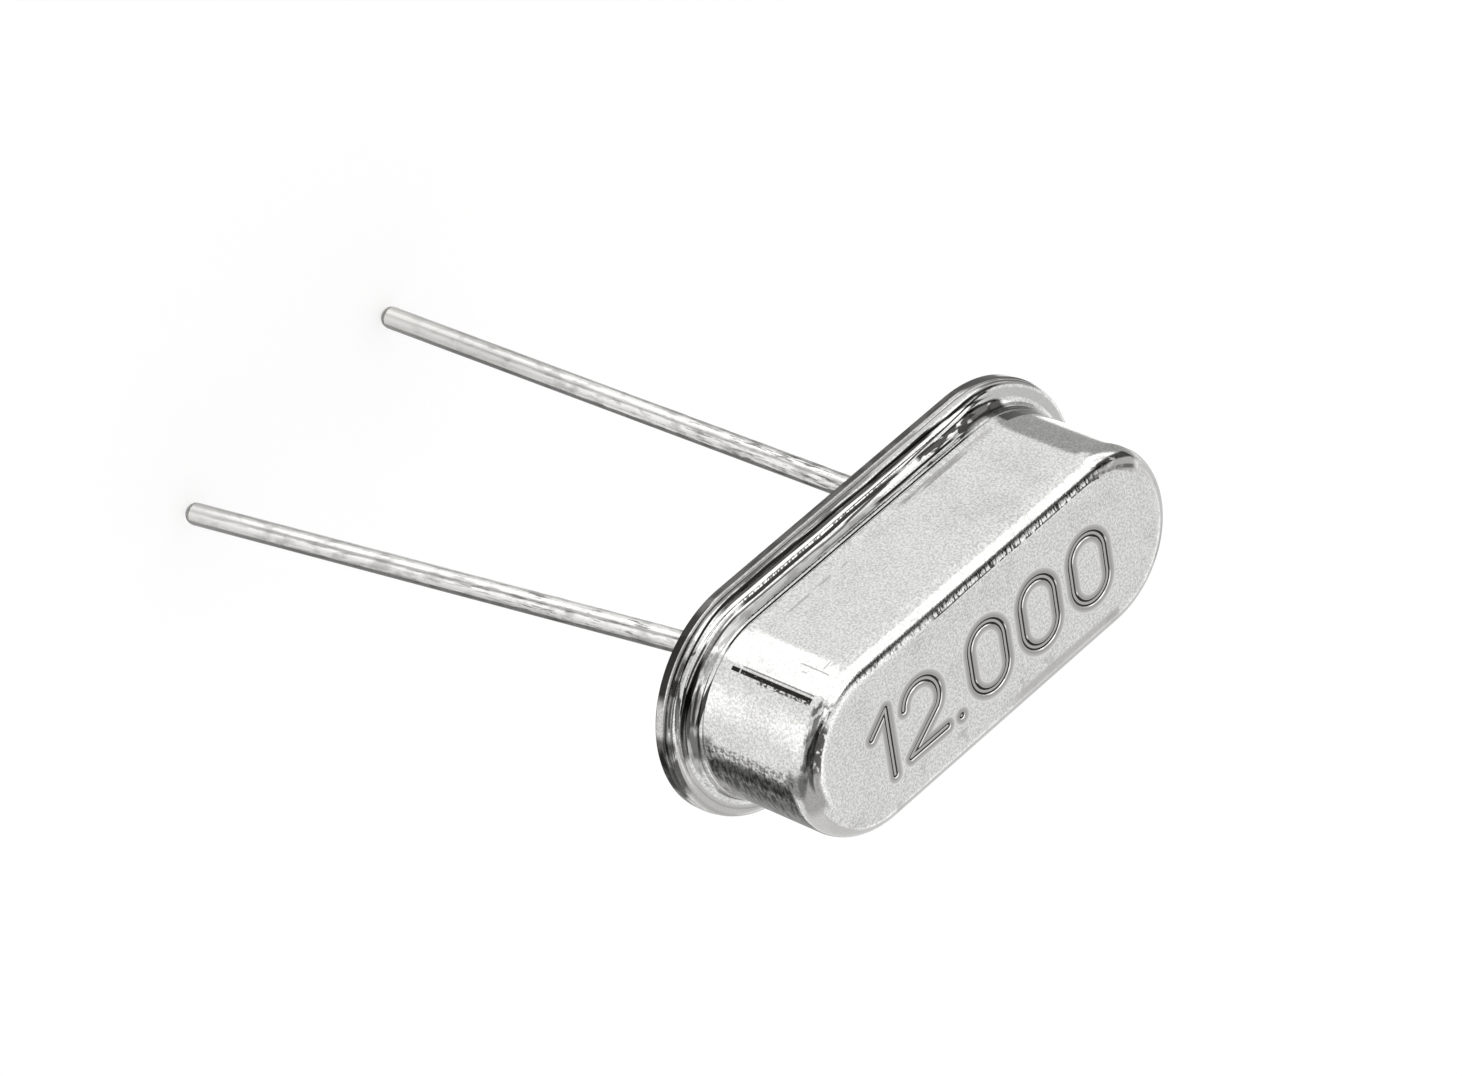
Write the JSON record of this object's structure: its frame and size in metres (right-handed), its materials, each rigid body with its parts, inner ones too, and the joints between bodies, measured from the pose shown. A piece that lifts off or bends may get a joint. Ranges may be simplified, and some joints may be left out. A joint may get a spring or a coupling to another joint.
{
  "type": "quartz crystal unit",
  "caption": "Low oval metal can with a welded flange and plain figures on its top, on a base with two long straight wire leads.",
  "frame": {"origin": "centre of the seating plane on the underside of the base", "axes": "+Z out of the seating plane through the top of the can, X along the can's length through both leads, Y across its width"},
  "size_m": [0.011, 0.0048, 0.0188],
  "materials": {
    "can_metal": "nickel-plated drawn sheet, satin on the walls and bright on the flange",
    "base_metal": "nickel-plated stamping, bright",
    "lead_metal": "tinned nickel-iron wire, satin with drawing marks",
    "seal_glass": "dark fused sealing glass",
    "clip_metal": "nickel-silver spring strip",
    "quartz": "lapped quartz, translucent",
    "film_metal": "evaporated silver film",
    "bond_resin": "silver-filled adhesive"
  },
  "bodies": {
    "root": {"can": "can_metal", "base": "base_metal", "left_seal": "seal_glass", "right_seal": "seal_glass", "left_lead": "lead_metal", "right_lead": "lead_metal", "left_clip": "clip_metal", "right_clip": "clip_metal", "quartz_blank": "quartz", "upper_electrode": "film_metal", "lower_electrode": "film_metal", "left_bond": "bond_resin", "right_bond": "bond_resin"}
  },
  "joints": []
}
